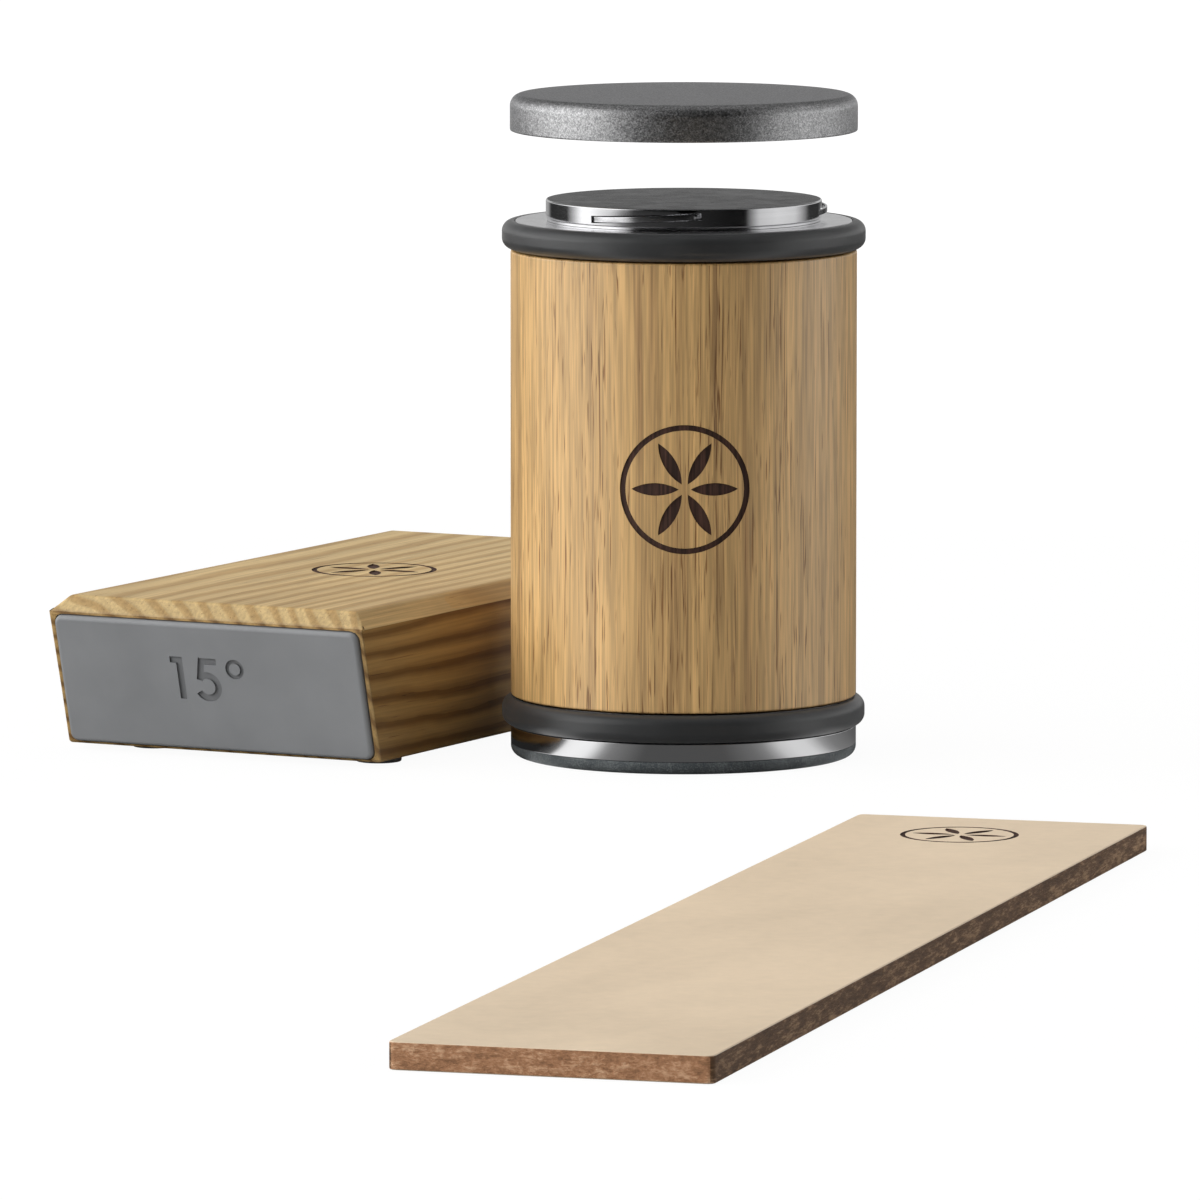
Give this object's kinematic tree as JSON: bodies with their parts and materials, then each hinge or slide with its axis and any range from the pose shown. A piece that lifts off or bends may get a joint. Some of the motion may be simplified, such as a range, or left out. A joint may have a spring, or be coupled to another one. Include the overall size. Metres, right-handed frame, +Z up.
{
  "type": "rolling knife sharpener",
  "caption": "Upright wooden roller with push-on abrasive discs on a bearing axle, a magnetic wedge-ended angle block and a leather strop.",
  "frame": {"origin": "centre of the roller's base, on the flat face of the honing disc that it stands on", "axes": "+Z up along the roller's axle, -Y towards the viewer of the picture, +X to its right"},
  "size_m": [0.1852, 0.4848, 0.115],
  "materials": {
    "oak": "oiled oak with open grain",
    "rubber": "matte dark grey",
    "steel": "turned",
    "polished_steel": "polished",
    "aluminium": "turned",
    "diamond_coat": "coarse diamond grit in a grey metal bond",
    "honing_abrasive": "fine matte abrasive",
    "silicone": "matte grey",
    "magnet": "nickel plated",
    "leather": "natural, smooth side up"
  },
  "bodies": {
    "honing_disc": {"honing_carrier": "polished_steel", "honing_plate": "honing_abrasive"},
    "running_gear": {"axle": "steel", "axle_spacer": "aluminium", "inner_race_upper": "steel", "inner_race_lower": "steel", "wheel_upper": "steel", "wheel_lower": "steel", "tyre_upper": "rubber", "tyre_lower": "rubber", "puck_upper": "polished_steel", "puck_lower": "polished_steel", "clip_upper_1": "polished_steel", "clip_upper_2": "polished_steel", "clip_upper_3": "polished_steel", "clip_lower_1": "polished_steel", "clip_lower_2": "polished_steel", "clip_lower_3": "polished_steel"},
    "grip": {"grip_sleeve": "oak", "sleeve_liner": "aluminium", "bearing_housing_upper": "aluminium", "bearing_housing_lower": "aluminium", "outer_race_upper": "steel", "outer_race_lower": "steel", "circlip_upper": "steel", "circlip_lower": "steel"},
    "upper_cage": {"ball_cage_upper": "steel"},
    "lower_cage": {"ball_cage_lower": "steel"},
    "grinding_disc": {"grinding_disc": "diamond_coat"},
    "angle_block": {"block_body": "oak", "pad_15": "silicone", "pad_20": "silicone", "keeper_15": "steel", "keeper_20": "steel", "magnet_15_1": "magnet", "magnet_15_2": "magnet", "magnet_15_3": "magnet", "magnet_20_1": "magnet", "magnet_20_2": "magnet", "magnet_20_3": "magnet", "foot_1": "rubber", "foot_2": "rubber", "foot_3": "rubber", "foot_4": "rubber"},
    "strop": {"strop": "leather"}
  },
  "joints": [
    {"name": "honing_disc_release", "type": "slide", "parent": "honing_disc", "child": "running_gear", "axis": [0, 0, 1], "range_m": [0, 0.012], "deforming": ["clip_lower_1", "clip_lower_2", "clip_lower_3"]},
    {"name": "grip_spin", "type": "hinge", "parent": "running_gear", "child": "grip", "pos_m": [0, 0, 0.0493], "axis": [0, 0, 1], "continuous": true},
    {"name": "upper_cage_spin", "type": "hinge", "parent": "running_gear", "child": "upper_cage", "pos_m": [0, 0, 0.0806], "axis": [0, 0, 1], "continuous": true},
    {"name": "lower_cage_spin", "type": "hinge", "parent": "running_gear", "child": "lower_cage", "pos_m": [0, 0, 0.018], "axis": [0, 0, 1], "continuous": true},
    {"name": "grinding_disc_lift", "type": "slide", "parent": "running_gear", "child": "grinding_disc", "axis": [0, 0, 1], "range_m": [-0.0155, 0], "deforming": ["clip_upper_1", "clip_upper_2", "clip_upper_3"]},
    {"name": "angle_block_lift", "type": "slide", "parent": "honing_disc", "child": "angle_block", "axis": [0, 0, 1], "range_m": [0, 0.05]},
    {"name": "strop_lift", "type": "slide", "parent": "honing_disc", "child": "strop", "axis": [0, 0, 1], "range_m": [0, 0.05]}
  ],
  "couplings": [
    {"joint": "upper_cage_spin", "follows": "grip_spin", "ratio": 0.615},
    {"joint": "lower_cage_spin", "follows": "grip_spin", "ratio": 0.615}
  ]
}
